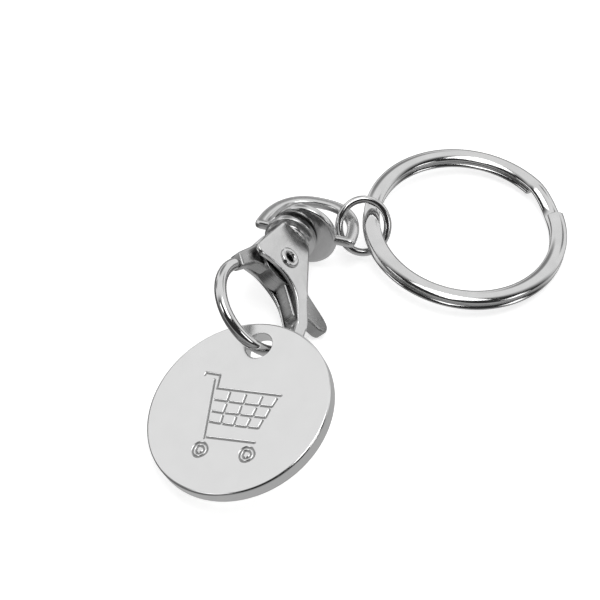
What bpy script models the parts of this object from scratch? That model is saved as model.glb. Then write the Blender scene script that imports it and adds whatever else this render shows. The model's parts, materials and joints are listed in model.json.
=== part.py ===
"""Coin holder keyring: a token coin on a sprung snap hook, with a swivel eye, a link and a split ring.

The keyring lies on a table as it was laid down, +Z up, in metres. Its origin is on the table under
the middle of its box. The snap hook has a frame of its own, which most sizes are given in: the
rivet's axis is its Z, X runs from the rivet towards the coin, and Y points to the thumb tab's side.
"""
import math

import bmesh
import bpy
from mathutils import Matrix, Vector

# Coin, the size of a one-euro piece, with its label in a recess on the underside
COIN_DIAMETER = 0.02325
COIN_THICKNESS = 0.00185
COIN_EDGE_BEVEL = 0.0003
HOLE_DIAMETER = 0.0034
HOLE_TO_EDGE = 0.001425
HOLE_OFFSET = (COIN_DIAMETER - HOLE_DIAMETER) / 2 - HOLE_TO_EDGE
COIN_RIM_WIDTH = 0.00075
RECESS_DEPTH = 0.0006
HOLE_RIM_WIDTH = 0.0004
LABEL_THICKNESS = 0.0003
LABEL_DOME = 0.00015
LABEL_DOME_SHARES = ((0.97, 0.5), (0.85, 1.0), (0.0, 1.0))

# Trolley sign, engraved with a V-shaped tool
TROLLEY_WIDTH = 0.0095
GROOVE_RADIUS = 0.00018
GROOVE_LIFT = 0.00002

# Snap hook
WIRE_DIAMETER = 0.0015
LOOP_RADIUS = 0.00605
LOOP_CENTRE_X = 0.0086
LOOP_CENTRE_Y = -0.0002
LOOP_FROM = math.radians(100.0)
LOOP_TO = math.radians(-138.0)
HOOK_WIDTH = 0.0042
CHEEK_THICKNESS = 0.0007
CHEEK_REACH = 0.0049
RAIL_HEIGHT = 0.0016
RAIL_JOIN = math.radians(112.0)
RAIL_END = math.radians(84.0)
SLOT_END_X = 0.0070
SLOT_TIP_WIDTH = 0.0022
FORK_BEVEL = 0.00025

# Swivel: the hook's collar, stem and head, and the eye that turns on them
COLLAR_DIAMETER = 0.0066
COLLAR_THICKNESS = 0.00094
NECK_DIAMETER = 0.0046
NECK_LENGTH = 0.0005
NECK_BACK_X = -0.0049
STEM_DIAMETER = 0.0019
STEM_HEAD_DIAMETER = 0.0058
STEM_HEAD_LENGTH = 0.0018
STEM_HEAD_ROUND = 0.00045
EYE_HUB_DIAMETER = 0.0086
EYE_HUB_THICKNESS = 0.0012
HUB_PROUD = 0.0001
EYE_PLAY = 0.0015
BOW_WIDTH = 0.0134
BOW_DEPTH = 0.0080
BOW_BAR_WIDTH = 0.0015
BOW_BAR_THICKNESS = 0.0012
BOW_BEVEL = 0.0003
BOW_POWER = 2.4
BOW_STEPS = 24

# Trigger, its rivet and its spring
TRIGGER_THICKNESS = 0.0018
TRIGGER_BEVEL = 0.0002
HUB_DIAMETER = 0.0066
HUB_THICKNESS = 0.0023
GATE_REACH = 0.0075
TAB_REACH = 0.0102
RIVET_DIAMETER = 0.0018
RIVET_HEAD_DIAMETER = 0.0028
RIVET_HEAD_THICKNESS = 0.0004
RIVET_BORE_DIAMETER = 0.0011
SPRING_WIRE_DIAMETER = 0.0003
SPRING_TURNS = 2
SPRING_FLOOR = 0.0005

# Link and split ring
LINK_WIRE_DIAMETER = 0.0010
LINK_LENGTH = 0.0078
LINK_WIDTH = 0.0073
LINK_HANG = 0.0004
LINK_SEAT = 0.00035
LINK_STEPS = 36
RING_OUTER_DIAMETER = 0.0264
RING_WIDTH = 0.0021
RING_TURN_HEIGHT = 0.0010
RING_TURN_GAP = 0.00012
RING_CORNER = 0.00045
RING_STEPS = 96
RING_SEAT = 0.00055

# Clearances
FIT = 0.0002
SEAT = 0.0003
OVERRUN = 0.001
WELD = 0.0000005

# Places along the hook's X axis, and rooms, that follow from the sizes above
COLLAR_BACK_X = NECK_BACK_X - NECK_LENGTH - COLLAR_THICKNESS
EYE_FRONT_X = COLLAR_BACK_X - SEAT
EYE_BACK_X = EYE_FRONT_X - EYE_HUB_THICKNESS
EYE_MIDDLE_X = EYE_FRONT_X - EYE_HUB_THICKNESS / 2
BAR_FRONT_X = EYE_FRONT_X - HUB_PROUD
BAR_BACK_X = EYE_BACK_X + HUB_PROUD
HEAD_FRONT_X = EYE_BACK_X - SEAT
LINK_INNER_WIDTH = LINK_WIDTH - 2 * LINK_WIRE_DIAMETER
CAVITY_HALF_WIDTH = HOOK_WIDTH / 2 - CHEEK_THICKNESS
SPRING_COIL_RADIUS = RIVET_DIAMETER / 2 + SEAT + SPRING_WIRE_DIAMETER / 2
SPRING_LEG_Z = HUB_THICKNESS / 2 - SPRING_WIRE_DIAMETER

# How the pieces lie on the table
HOOK_HEADING = math.radians(-105.2)
HOOK_CLIMB = math.radians(11.5)
HOOK_ROLL = math.radians(41.0)
COIN_HEADING = math.radians(11.4)
COIN_TILT = math.radians(20.5)
COIN_SPIN = math.radians(-30.0)
COIN_ON_LOOP = math.radians(26.0)
EYE_LIFT = math.radians(3.3)
EYE_YAW = math.radians(4.5)
LINK_ON_BOW = math.radians(38.0)
LINK_HEADING = math.radians(0.0)
LINK_SLOPE = math.radians(9.0)
LINK_LEAN = math.radians(38.9)
RING_HEADING = math.radians(4.0)
RING_SLOPE = math.radians(5.0)
RING_JOG_FROM = math.radians(8.0)
RING_JOG_TO = math.radians(36.0)

# Outlines, as shares of the size that each one follows
CHEEK_EDGE_SHARES = ((-1.0, -0.54), (0.47, -0.96), (0.61, -0.75), (0.49, -0.27), (0.59, 0.24), (0.82, 0.65))
RAIL_EDGE_SHARES = ((0.63, 0.92), (-1.0, 0.40))
GATE_OUTER_SHARES = ((0.25, -0.64), (-0.05, -0.50))
GATE_INNER_SHARES = ((0.48, -0.44),)
GATE_TIP_ANGLES = (math.radians(-53.5), math.radians(-38.5))
TAB_SHARES = ((0.61, 0.41), (0.62, 0.50), (0.49, 0.59), (0.47, 0.70), (0.47, 0.84), (0.43, 0.91),
              (0.37, 0.925), (0.30, 0.90), (0.24, 0.81), (0.18, 0.66), (0.11, 0.49))
TROLLEY_STROKES_SHARES = (
    ((-0.600, 0.406), (-0.590, 0.439), (-0.389, 0.424), (-0.369, 0.234), (0.536, 0.215)),
    ((-0.442, 0.350), (-0.306, -0.472)),
    ((-0.272, -0.455), (0.398, -0.461)),
    ((-0.341, 0.071), (-0.168, 0.065), (-0.167, 0.188)),
    ((-0.131, 0.063), (0.057, 0.055), (0.062, 0.178)),
    ((0.092, 0.057), (0.276, 0.052), (0.290, 0.169)),
    ((0.311, 0.052), (0.464, 0.051), (0.496, 0.166)),
    ((-0.320, -0.092), (-0.167, -0.102), (-0.161, 0.018)),
    ((-0.127, -0.099), (0.048, -0.101), (0.051, 0.013)),
    ((0.086, -0.101), (0.245, -0.106), (0.261, 0.006)),
    ((0.282, -0.106), (0.426, -0.108), (0.448, 0.006)),
    ((-0.309, -0.239), (-0.153, -0.250), (-0.156, -0.142)),
    ((-0.114, -0.250), (0.028, -0.257), (0.033, -0.146)),
    ((0.067, -0.256), (0.212, -0.260), (0.229, -0.149)),
    ((0.248, -0.260), (0.379, -0.261), (0.401, -0.150)),
)
TROLLEY_WHEEL_SHARES = ((-0.305, -0.634), (0.344, -0.629))
# Each ring of a wheel: its radius, and how far it is turned as a share of a step, so no corners line up
TROLLEY_WHEEL_RINGS_SHARES = ((0.098, 0.0), (0.052, 0.5))

ARC_STEP = math.radians(10.0)
WHEEL_STEP = math.radians(30.0)
WHEEL_LAST = math.radians(330.0)
TURN_STEPS = 32
SHARP_ANGLE = math.radians(35.0)
SMALL_ANGLE = math.radians(0.5)
LEVEL_ANGLE = math.radians(0.05)


def clear_scene():
    """Empty the file, so that the script starts from nothing."""
    for obj in list(bpy.data.objects):
        bpy.data.objects.remove(obj, do_unlink=True)
    for old in list(bpy.data.collections):
        bpy.data.collections.remove(old)


def new_collection(name):
    """A collection in the scene."""
    made = bpy.data.collections.new(name)
    bpy.context.scene.collection.children.link(made)
    return made


def metal(name, colour, roughness, metallic=1.0):
    """A Principled material with a colour, a roughness and a metallic value."""
    made = bpy.data.materials.new(name)
    made.use_nodes = True
    shader = made.node_tree.nodes["Principled BSDF"]
    shader.inputs["Base Color"].default_value = (*colour, 1.0)
    shader.inputs["Roughness"].default_value = roughness
    shader.inputs["Metallic"].default_value = metallic
    return made


def add_empty(name, world, parent=None):
    """An axis marker at a world matrix, under its parent's marker."""
    made = bpy.data.objects.new(name, None)
    made.empty_display_size = WIRE_DIAMETER
    PARTS.objects.link(made)
    made.parent = parent
    made["world"] = [value for row in world for value in row]
    made.matrix_basis = world_of(parent).inverted() @ world
    return made


def world_of(marker):
    """A marker's world matrix, kept as it was given."""
    if marker is None:
        return Matrix.Identity(4)
    values = list(marker["world"])
    return Matrix([values[4 * row:4 * row + 4] for row in range(4)])


def as_mesh(obj):
    """Turn a curve, or an object with modifiers, into one welded mesh object in its place."""
    bpy.context.view_layer.update()
    evaluated = obj.evaluated_get(bpy.context.evaluated_depsgraph_get())
    mesh = bpy.data.meshes.new_from_object(evaluated)
    bm = bmesh.new()
    bm.from_mesh(mesh)
    bmesh.ops.remove_doubles(bm, verts=bm.verts, dist=WELD)
    bmesh.ops.recalc_face_normals(bm, faces=bm.faces)
    bm.to_mesh(mesh)
    bm.free()
    made = bpy.data.objects.new(obj.name, mesh)
    made.parent = obj.parent
    made.matrix_basis = obj.matrix_basis.copy()
    name = obj.name
    bpy.data.objects.remove(obj, do_unlink=True)
    made.name = name
    PARTS.objects.link(made)
    return made


def placed(name, data, marker, turn=None):
    """An object of the assembly, on its marker."""
    made = bpy.data.objects.new(name, data)
    PARTS.objects.link(made)
    made.parent = marker
    made.matrix_basis = turn or Matrix.Identity(4)
    return made


def straight_curve(name, paths, cyclic=False):
    """A curve of straight pieces through the points of each path."""
    curve = bpy.data.curves.new(name, "CURVE")
    curve.dimensions = "3D"
    curve.use_fill_caps = True
    for path in paths:
        spline = curve.splines.new("POLY")
        spline.points.add(len(path) - 1)
        for point, place in zip(spline.points, path):
            point.co = (*place, 1.0)
        spline.use_cyclic_u = cyclic
    return curve


def flat_solid(name, outline, half_thickness, marker, turn=None, opening=None):
    """A plate: a closed outline, with an opening where given, and a thickness on both sides."""
    outlines = [outline] if opening is None else [outline, opening]
    paths = [[(x, y, 0.0) for x, y in points] for points in outlines]
    curve = straight_curve(name, paths, cyclic=True)
    curve.dimensions = "2D"
    curve.fill_mode = "BOTH"
    curve.extrude = half_thickness
    return as_mesh(placed(name, curve, marker, turn))


def tube(name, path, radius, marker, cyclic=False, sides_resolution=2, turn=None):
    """A wire of one radius along a path, with filled ends."""
    curve = straight_curve(name, [path], cyclic)
    curve.bevel_depth = radius
    curve.bevel_resolution = sides_resolution
    return as_mesh(placed(name, curve, marker, turn))


def turned(name, profile, marker, turn=None, steps=TURN_STEPS):
    """A solid of revolution about Z: a profile of (radius, height) spun by a Screw modifier."""
    mesh = bpy.data.meshes.new(name)
    points = [(radius, 0.0, height) for radius, height in profile]
    edges = [(index, index + 1) for index in range(len(points) - 1)]
    mesh.from_pydata(points, edges, [])
    made = placed(name, mesh, marker, turn)
    screw = made.modifiers.new("turned", "SCREW")
    screw.steps = steps
    screw.render_steps = steps
    screw.use_merge_vertices = True
    screw.merge_threshold = WELD
    made = as_mesh(made)
    join_level_faces(made.data)
    return made


def join_level_faces(mesh):
    """Join the faces that lie in one plane, so that a cut meets one face there and not a fan."""
    bm = bmesh.new()
    bm.from_mesh(mesh)
    bmesh.ops.dissolve_limit(bm, angle_limit=LEVEL_ANGLE, verts=bm.verts, edges=bm.edges)
    bm.to_mesh(mesh)
    bm.free()


def bevel(obj, width, segments=1):
    """Round the sharp edges of a solid."""
    modifier = obj.modifiers.new("rounded edges", "BEVEL")
    modifier.width = width
    modifier.segments = segments
    modifier.limit_method = "ANGLE"
    modifier.angle_limit = SHARP_ANGLE


def put_away(tool):
    """Keep a tool hidden, among the cutters."""
    CUTTERS.objects.link(tool)
    tool.hide_render = True
    tool.display_type = "WIRE"


def combine(obj, other, operation):
    """Cut, join or intersect a solid with another, which becomes a hidden tool."""
    modifier = obj.modifiers.new(other.name, "BOOLEAN")
    modifier.operation = operation
    modifier.solver = "EXACT"
    modifier.object = other
    PARTS.objects.unlink(other)
    put_away(other)


def finish_piece(obj, material):
    """Give a piece its material, and shade its round sides smooth."""
    made = as_mesh(obj)
    made.data.materials.clear()
    made.data.materials.append(material)
    made.data.shade_smooth()
    made.data.set_sharp_from_angle(angle=SHARP_ANGLE)
    return made


def along_x():
    """Turn a solid of revolution so that its height runs along X."""
    return Matrix.Rotation(math.radians(90.0), 4, "Y")


def arc(centre, radius, start, end, step=ARC_STEP):
    """Points on a circle from one angle to another, both included."""
    count = max(2, round(abs(end - start) / step) + 1)
    angles = [start + (end - start) * index / (count - 1) for index in range(count)]
    return [(centre[0] + radius * math.cos(a), centre[1] + radius * math.sin(a)) for a in angles]


def scaled(shares, size):
    """Outline points from shares of one size."""
    return [(x * size, y * size) for x, y in shares]


def hook_frame():
    """World matrix of the hook: heading on the table, climb of its X axis, roll about it."""
    heading = Matrix.Rotation(HOOK_HEADING, 4, "Z")
    climb = Matrix.Rotation(-HOOK_CLIMB, 4, "Y")
    return heading @ climb @ Matrix.Rotation(-HOOK_ROLL, 4, "X")


def loop_point(angle):
    """Centre of the loop's wire at an angle about the loop's centre, in the hook's frame."""
    return Vector((LOOP_CENTRE_X + LOOP_RADIUS * math.cos(angle),
                   LOOP_CENTRE_Y + LOOP_RADIUS * math.sin(angle), 0.0))


def loop_tangent(angle):
    """Direction of the loop's wire at an angle, in the hook's frame."""
    return Vector((-math.sin(angle), math.cos(angle), 0.0))


def coin_frame():
    """World matrix of the coin, with its origin in the middle of the hole, on the loop's wire."""
    place = Matrix.Translation(hook_frame() @ loop_point(COIN_ON_LOOP))
    heading = Matrix.Rotation(COIN_HEADING, 4, "Z")
    tilt = Matrix.Rotation(-COIN_TILT, 4, "Y")
    return place @ heading @ tilt @ Matrix.Rotation(COIN_SPIN, 4, "Z")


def eye_frame():
    """World matrix of the swivel eye, turned about the stem until it lies level, and loose on it."""
    turn = Matrix.Rotation(HOOK_ROLL + EYE_LIFT, 4, "X")
    hub = Matrix.Translation((EYE_MIDDLE_X, EYE_PLAY, 0.0))
    askew = Matrix.Rotation(-EYE_YAW, 4, "Z")
    return hook_frame() @ turn @ hub @ askew @ Matrix.Translation((-EYE_MIDDLE_X, 0.0, 0.0))


def bow_curve(angle, inset):
    """A point of the bow, a superellipse behind the hub, moved in from its outer edge."""
    half_width = BOW_WIDTH / 2 - inset
    depth = BOW_DEPTH - inset
    power = 2.0 / BOW_POWER
    across = math.copysign(abs(math.cos(angle)) ** power, math.cos(angle))
    back = abs(math.sin(angle)) ** power
    return (BAR_FRONT_X - depth * back, half_width * across)


def along_bow(angle):
    """Direction of the bow's bar at an angle, in the eye's frame."""
    before = bow_curve(angle - SMALL_ANGLE, BOW_BAR_WIDTH / 2)
    after = bow_curve(angle + SMALL_ANGLE, BOW_BAR_WIDTH / 2)
    return Vector((before[0] - after[0], before[1] - after[1], 0.0))


def link_frame():
    """World matrix of the link, with its origin in the middle of the bow's bar."""
    x, y = bow_curve(LINK_ON_BOW, BOW_BAR_WIDTH / 2)
    place = Matrix.Translation(eye_frame() @ Vector((x, y, 0.0)))
    heading = Matrix.Rotation(LINK_HEADING, 4, "Z")
    slope = Matrix.Rotation(LINK_SLOPE, 4, "Y")
    return place @ heading @ slope @ Matrix.Rotation(LINK_LEAN, 4, "X")


def ring_frame():
    """World matrix of the split ring, with its origin in the middle of its wire, inside the link."""
    reach = LINK_INNER_WIDTH - LINK_SEAT - RING_SEAT - (BOW_BAR_WIDTH + RING_WIDTH) / 2
    place = Matrix.Translation(link_frame() @ Vector((reach, -LINK_HANG, 0.0)))
    heading = Matrix.Rotation(RING_HEADING, 4, "Z")
    return place @ heading @ Matrix.Rotation(RING_SLOPE, 4, "Y")


def fork_outline():
    """Side view of the cheeks and of the rails that run into the loop."""
    centre = (LOOP_CENTRE_X, LOOP_CENTRE_Y)
    rail_inside = arc(centre, LOOP_RADIUS - RAIL_HEIGHT / 2, RAIL_JOIN, RAIL_END)
    rail_outside = arc(centre, LOOP_RADIUS + RAIL_HEIGHT / 2, RAIL_END, RAIL_JOIN)
    below, above = scaled(CHEEK_EDGE_SHARES, CHEEK_REACH), scaled(RAIL_EDGE_SHARES, CHEEK_REACH)
    return below + rail_inside + rail_outside + above


def plan_outline(half_width, tip_half_width, back_x, tip_x):
    """Plan view of the fork or of its slot: parallel at the cheeks, tapered along the rails."""
    taper_x = CHEEK_REACH / 2
    side = [(back_x, half_width), (taper_x, half_width), (tip_x, tip_half_width)]
    return side + [(x, -y) for x, y in reversed(side)]


def seen_from_above():
    """Turn an outline in XY into one in XZ, which is then as thick along Y."""
    return Matrix.Rotation(math.radians(90.0), 4, "X")


def make_hook(marker, material):
    """The cast hook: cheeks and rails, neck, collar, stem and head, and the loop of wire."""
    fork = flat_solid("fork", fork_outline(), HOOK_WIDTH / 2, marker)
    height = LOOP_RADIUS + RAIL_HEIGHT + OVERRUN
    tip_x = LOOP_CENTRE_X + LOOP_RADIUS * math.cos(RAIL_END) + OVERRUN
    plan = plan_outline(HOOK_WIDTH / 2, WIRE_DIAMETER / 2, NECK_BACK_X - OVERRUN, tip_x)
    combine(fork, flat_solid("fork_plan", plan, height, marker, seen_from_above()), "INTERSECT")
    fork = as_mesh(fork)
    bevel(fork, FORK_BEVEL)
    fork = as_mesh(fork)
    slot = plan_outline(CAVITY_HALF_WIDTH, SLOT_TIP_WIDTH / 2, NECK_BACK_X + CHEEK_THICKNESS / 2, SLOT_END_X)
    combine(fork, flat_solid("slot", slot, height, marker, seen_from_above()), "DIFFERENCE")
    bore_radius = RIVET_DIAMETER / 2 + FIT
    bore = [(0.0, HOOK_WIDTH), (bore_radius, HOOK_WIDTH), (bore_radius, -HOOK_WIDTH), (0.0, -HOOK_WIDTH)]
    combine(fork, turned("cheek_bores", bore, marker), "DIFFERENCE")
    combine(fork, make_swivel_stem(marker), "UNION")
    combine(fork, make_loop(marker), "UNION")
    fork.name = "hook_body"
    return finish_piece(fork, material)


def make_swivel_stem(marker):
    """Neck, collar, stem and rounded head, turned about the hook's X axis."""
    neck, collar, stem = NECK_DIAMETER / 2, COLLAR_DIAMETER / 2, STEM_DIAMETER / 2
    head = STEM_HEAD_DIAMETER / 2
    inside_x = NECK_BACK_X + FIT
    collar_front_x = COLLAR_BACK_X + COLLAR_THICKNESS
    back = HEAD_FRONT_X - STEM_HEAD_LENGTH
    profile = [(0.0, inside_x), (neck - FIT, inside_x), (neck, NECK_BACK_X), (neck, collar_front_x),
               (collar, collar_front_x), (collar, COLLAR_BACK_X), (stem, COLLAR_BACK_X),
               (stem, HEAD_FRONT_X), (head - STEM_HEAD_ROUND, HEAD_FRONT_X),
               (head, HEAD_FRONT_X - STEM_HEAD_ROUND), (head, back + 2 * STEM_HEAD_ROUND),
               (head - STEM_HEAD_ROUND, back + STEM_HEAD_ROUND / 2), (0.0, back)]
    return turned("swivel_stem", profile, marker, along_x())


def make_loop(marker):
    """The loop's wire, with its nose trimmed to the circle that the gate's tip swings on."""
    centre = (LOOP_CENTRE_X, LOOP_CENTRE_Y)
    path = [(x, y, 0.0) for x, y in arc(centre, LOOP_RADIUS, LOOP_FROM, LOOP_TO)]
    loop = tube("loop", path, WIRE_DIAMETER / 2, marker)
    sweep = GATE_REACH + SEAT
    disc = [(0.0, WIRE_DIAMETER), (sweep, WIRE_DIAMETER), (sweep, -WIRE_DIAMETER), (0.0, -WIRE_DIAMETER)]
    trim = turned("nose_trim", disc, marker, steps=2 * TURN_STEPS)
    corners = [(sweep, 0.0), (sweep, -sweep), (-sweep, -sweep), (-sweep, 0.0)]
    side = flat_solid("nose_side", corners, WIRE_DIAMETER, marker)
    combine(trim, side, "INTERSECT")
    combine(loop, as_mesh(trim), "DIFFERENCE")
    return as_mesh(loop)


def make_rivet(marker, material):
    """The tubular rivet: a domed head under the hook, a flared open end on top."""
    shank, head, bore = RIVET_DIAMETER / 2, RIVET_HEAD_DIAMETER / 2, RIVET_BORE_DIAMETER / 2
    seat = HOOK_WIDTH / 2 + FIT
    top = seat + RIVET_HEAD_THICKNESS
    round_off = RIVET_HEAD_THICKNESS / 2
    profile = [(0.0, 0.0), (bore, 0.0), (bore, seat), (bore + round_off / 2, top), (head - round_off, top),
               (head, top - round_off), (head - round_off / 4, seat), (shank, seat), (shank, -seat),
               (head, -seat), (head - round_off / 4, -seat - round_off), (head - round_off, -top),
               (0.0, -top)]
    return finish_piece(turned("rivet", profile, marker), material)


def trigger_outline():
    """Side view of the trigger: gate arm, hub and thumb tab in one plate."""
    tip = arc((0.0, 0.0), GATE_REACH, *GATE_TIP_ANGLES)
    hub = HUB_DIAMETER / 2 - TRIGGER_BEVEL
    right = arc((0.0, 0.0), hub, math.radians(-25.0), math.radians(25.0))
    left = arc((0.0, 0.0), hub, math.radians(105.0), math.radians(220.0))
    gate_inner = scaled(GATE_INNER_SHARES, GATE_REACH)
    gate_outer = scaled(reversed(GATE_OUTER_SHARES), GATE_REACH)
    return tip + gate_inner + right + scaled(TAB_SHARES, TAB_REACH) + left + gate_outer


def make_trigger(marker, material):
    """The gate lever, with its spring's pocket in the thicker hub."""
    trigger = flat_solid("trigger", trigger_outline(), TRIGGER_THICKNESS / 2, marker)
    bevel(trigger, TRIGGER_BEVEL)
    trigger = as_mesh(trigger)
    hub, half = HUB_DIAMETER / 2, HUB_THICKNESS / 2
    bore, pocket = RIVET_DIAMETER / 2 + FIT, SPRING_COIL_RADIUS + SPRING_WIRE_DIAMETER / 2 + SEAT
    over = half + OVERRUN
    boss = [(0.0, half), (hub, half), (hub, -half), (0.0, -half)]
    combine(trigger, turned("hub_boss", boss, marker), "UNION")
    hole = [(0.0, over), (bore, over), (bore, -over), (0.0, -over)]
    combine(trigger, turned("hub_bore", hole, marker), "DIFFERENCE")
    room = [(0.0, over), (pocket, over), (pocket, -SPRING_FLOOR), (0.0, -SPRING_FLOOR)]
    combine(trigger, turned("spring_pocket", room, marker), "DIFFERENCE")
    sector = [(0.0, 0.0)] + arc((0.0, 0.0), 2 * hub, math.radians(125.0), math.radians(200.0))
    raised = Matrix.Translation((0.0, 0.0, SPRING_LEG_Z - SPRING_WIRE_DIAMETER / 2 - FIT + over))
    combine(trigger, flat_solid("leg_notch", sector, over, marker, raised), "DIFFERENCE")
    return finish_piece(trigger, material)


def make_spring(marker, material):
    """The torsion spring: a coil about the rivet, whose leg bears on the hook's neck."""
    low = -SPRING_FLOOR + FIT + SPRING_WIRE_DIAMETER / 2
    count = 12 * SPRING_TURNS
    path = []
    for index in range(count + 1):
        angle = math.radians(180.0) - math.radians(30.0) * (count - index)
        height = low + (SPRING_LEG_Z - low) * index / count
        path.append((SPRING_COIL_RADIUS * math.cos(angle), SPRING_COIL_RADIUS * math.sin(angle), height))
    leg_end = NECK_BACK_X + CHEEK_THICKNESS / 2 + FIT
    path.append((leg_end, -SPRING_WIRE_DIAMETER / 2, SPRING_LEG_Z))
    gap = (SPRING_LEG_Z - low) / SPRING_TURNS - SPRING_WIRE_DIAMETER
    print("trigger_spring: gap between turns %.5f m" % gap)
    return finish_piece(tube("trigger_spring", path, SPRING_WIRE_DIAMETER / 2, marker,
                             sides_resolution=1), material)


def make_eye(marker, material):
    """The swivel eye: a round hub on the stem, with shoulders and a bow behind it."""
    steps = [math.radians(180.0) * index / BOW_STEPS for index in range(BOW_STEPS + 1)]
    outer = [bow_curve(angle, 0.0) for angle in steps]
    inner = [bow_curve(angle, BOW_BAR_WIDTH) for angle in steps]
    inner = [(min(x, BAR_BACK_X), y) for x, y in inner]
    eye = flat_solid("swivel_eye", outer, BOW_BAR_THICKNESS / 2, marker, opening=inner)
    bevel(eye, BOW_BEVEL)
    eye = as_mesh(eye)
    hub, edge = EYE_HUB_DIAMETER / 2, BOW_BEVEL
    disc = [(0.0, EYE_FRONT_X), (hub - edge, EYE_FRONT_X), (hub, EYE_FRONT_X - edge),
            (hub, EYE_BACK_X + edge), (hub - edge, EYE_BACK_X), (0.0, EYE_BACK_X)]
    combine(eye, turned("eye_hub", disc, marker, along_x()), "UNION")
    bore = STEM_DIAMETER / 2 + EYE_PLAY + FIT
    front, back = EYE_FRONT_X + OVERRUN, HEAD_FRONT_X - STEM_HEAD_LENGTH
    hole = [(0.0, front), (bore, front), (bore, back), (0.0, back)]
    combine(eye, turned("stem_bore", hole, marker, along_x()), "DIFFERENCE")
    return finish_piece(eye, material)


def make_link(marker, material):
    """The closed oval link of wire."""
    half_width = (LINK_WIDTH - LINK_WIRE_DIAMETER) / 2
    half_length = (LINK_LENGTH - LINK_WIRE_DIAMETER) / 2
    centre_x = LINK_INNER_WIDTH / 2 - LINK_SEAT - BOW_BAR_WIDTH / 2
    path = []
    for index in range(LINK_STEPS):
        angle = math.radians(360.0) * index / LINK_STEPS
        path.append((centre_x + half_width * math.cos(angle), half_length * math.sin(angle) - LINK_HANG, 0.0))
    return finish_piece(tube("link", path, LINK_WIRE_DIAMETER / 2, marker, cyclic=True), material)


def ring_height(turn, jog):
    """Height of the ring's strip after a share of turns: level, up through the jog, level again."""
    share = min(1.0, max(0.0, (turn - (1.0 - jog)) / jog))
    step = RING_TURN_HEIGHT + RING_TURN_GAP
    return step * share * share * (3.0 - 2.0 * share) - step / 2


def make_ring(marker, material):
    """The split ring: one strip in two turns, one on the other, with an end at each side of the jog."""
    radius = (RING_OUTER_DIAMETER - RING_WIDTH) / 2
    full_turn = math.radians(360.0)
    jog = (RING_JOG_TO - RING_JOG_FROM) / full_turn
    path = []
    for index in range(RING_STEPS + 1):
        turn = (2.0 - jog) * index / RING_STEPS
        angle = RING_JOG_TO + full_turn * turn
        path.append((radius + radius * math.cos(angle), radius * math.sin(angle), ring_height(turn, jog)))
    curve = straight_curve("split_ring", [path])
    curve.twist_mode = "Z_UP"
    curve.bevel_mode = "OBJECT"
    curve.bevel_object = strip_section()
    return finish_piece(placed("split_ring", curve, marker), material)


def strip_section():
    """The ring's section: a flat strip with rounded edges."""
    across, up = RING_WIDTH / 2 - RING_CORNER, RING_TURN_HEIGHT / 2 - RING_CORNER
    outline = []
    for x, y, start in ((across, up, 0.0), (-across, up, 90.0), (-across, -up, 180.0), (across, -up, 270.0)):
        for extra in (0.0, 45.0, 90.0):
            angle = math.radians(start + extra)
            outline.append((x + RING_CORNER * math.cos(angle), y + RING_CORNER * math.sin(angle), 0.0))
    section = bpy.data.objects.new("ring_section", straight_curve("ring_section", [outline], cyclic=True))
    put_away(section)
    return section


def coin_centre():
    """Place of the coin's middle in its own frame, whose origin is the hole."""
    return Matrix.Translation((0.0, -HOLE_OFFSET, 0.0))


def make_coin(marker, material):
    """The coin: chamfered edge, engraved trolley, recess for the label, and the hole."""
    radius, half = COIN_DIAMETER / 2, COIN_THICKNESS / 2
    edge = COIN_EDGE_BEVEL
    blank = [(0.0, half), (radius - edge, half), (radius, half - edge), (radius, -half + edge),
             (radius - edge, -half), (0.0, -half)]
    coin = turned("coin", blank, marker, coin_centre(), 2 * TURN_STEPS)
    floor = -half + RECESS_DEPTH
    recess_radius = radius - COIN_RIM_WIDTH
    recess = [(0.0, floor), (recess_radius, floor), (recess_radius, -COIN_THICKNESS), (0.0, -COIN_THICKNESS)]
    recess = turned("label_recess", recess, marker, coin_centre(), 2 * TURN_STEPS)
    rim_radius = HOLE_DIAMETER / 2 + HOLE_RIM_WIDTH
    low = COIN_THICKNESS + OVERRUN
    rim = [(0.0, half), (rim_radius, half), (rim_radius, -low), (0.0, -low)]
    combine(recess, turned("hole_rim", rim, marker), "DIFFERENCE")
    combine(coin, as_mesh(recess), "DIFFERENCE")
    combine(coin, hole_cutter("coin_hole", HOLE_DIAMETER / 2, marker), "DIFFERENCE")
    for groove in trolley_grooves(marker):
        combine(coin, groove, "DIFFERENCE")
    return finish_piece(coin, material)


def hole_cutter(name, radius, marker):
    """A round cutter on the hole's axis, longer than the coin is thick."""
    over = COIN_THICKNESS + OVERRUN
    return turned(name, [(0.0, over), (radius, over), (radius, -over), (0.0, -over)], marker)


def trolley_grooves(marker):
    """The shopping trolley sign: grooves with a V section, and two wheels of two rings each."""
    turn = coin_centre() @ Matrix.Translation((0.0, 0.0, COIN_THICKNESS / 2 + GROOVE_LIFT))
    grooves = []
    for stroke in TROLLEY_STROKES_SHARES:
        path = [(x * TROLLEY_WIDTH, y * TROLLEY_WIDTH, 0.0) for x, y in stroke]
        grooves.append(tube("groove", path, GROOVE_RADIUS, marker, sides_resolution=0, turn=turn))
    for x, y in TROLLEY_WHEEL_SHARES:
        for radius_share, turn_share in TROLLEY_WHEEL_RINGS_SHARES:
            centre = (x * TROLLEY_WIDTH, y * TROLLEY_WIDTH)
            start = turn_share * WHEEL_STEP
            circle = arc(centre, radius_share * TROLLEY_WIDTH, start, start + WHEEL_LAST, WHEEL_STEP)
            path = [(across, along, 0.0) for across, along in circle]
            grooves.append(tube("wheel", path, GROOVE_RADIUS, marker, cyclic=True, sides_resolution=0,
                                turn=turn))
    return grooves


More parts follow.
